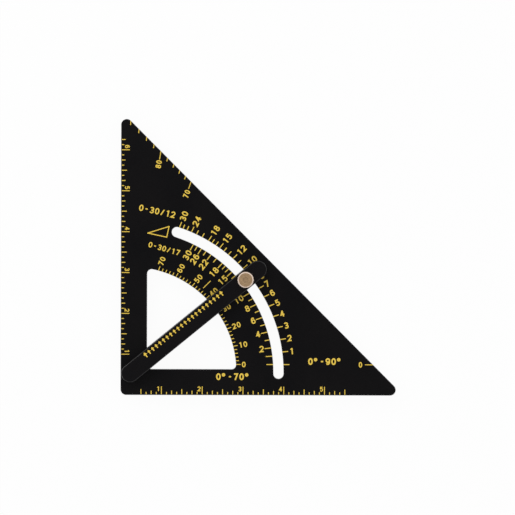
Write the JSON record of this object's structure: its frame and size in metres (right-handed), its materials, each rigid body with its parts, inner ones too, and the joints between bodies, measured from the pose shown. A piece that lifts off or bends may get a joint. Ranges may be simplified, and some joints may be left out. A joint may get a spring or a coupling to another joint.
{
  "type": "adjustable speed square",
  "caption": "Right-angled triangular marking plate with degree and roof pitch scales, an arc slot and a pair of pivoting fence arms clamped at a set angle by a knurled thumb screw.",
  "frame": {"origin": "on the pivot axis, at the rear arm's outer face, which the tool rests on", "axes": "+X along the seat edge away from the square corner, +Y along the plumb edge, +Z out of the printed face"},
  "size_m": [0.1714, 0.1714, 0.0189],
  "materials": {
    "black_anodised": "black anodised sheet, fine satin",
    "black_arm": "black anodised bar, satin",
    "steel": "zinc plated",
    "nylon": "black nylon",
    "brass": "turned, with a knurled rim"
  },
  "bodies": {
    "square": {"square_plate": "black_anodised"},
    "arm": {"front_arm": "black_arm", "rear_arm": "black_arm", "pivot_post": "steel", "pivot_screw": "steel", "front_pivot_washer": "nylon", "rear_pivot_washer": "nylon", "slot_bush": "nylon", "front_slot_washer": "nylon", "rear_slot_washer": "nylon", "clamp_insert": "brass"},
    "clamp_washer": {"clamp_washer": "steel"},
    "thumb_screw": {"thumb_screw": "brass"}
  },
  "joints": [
    {"name": "arm_swing", "type": "hinge", "parent": "square", "child": "arm", "pos_m": [0, 0, 0.00685], "axis": [0, 0, 1], "range_deg": [-39.65, 32.69]},
    {"name": "clamp_lift", "type": "slide", "parent": "arm", "child": "clamp_washer", "axis": [0, 0, 1], "range_m": [0, 0.00159]},
    {"name": "thumb_screw_turn", "type": "hinge", "parent": "clamp_washer", "child": "thumb_screw", "pos_m": [0.07119, 0.05827, 0.0165], "axis": [0, 0, 1], "range_deg": [0, 540]}
  ],
  "couplings": [
    {"joint": "thumb_screw_turn", "follows": "clamp_lift", "rad_per_m": 5936.9}
  ]
}
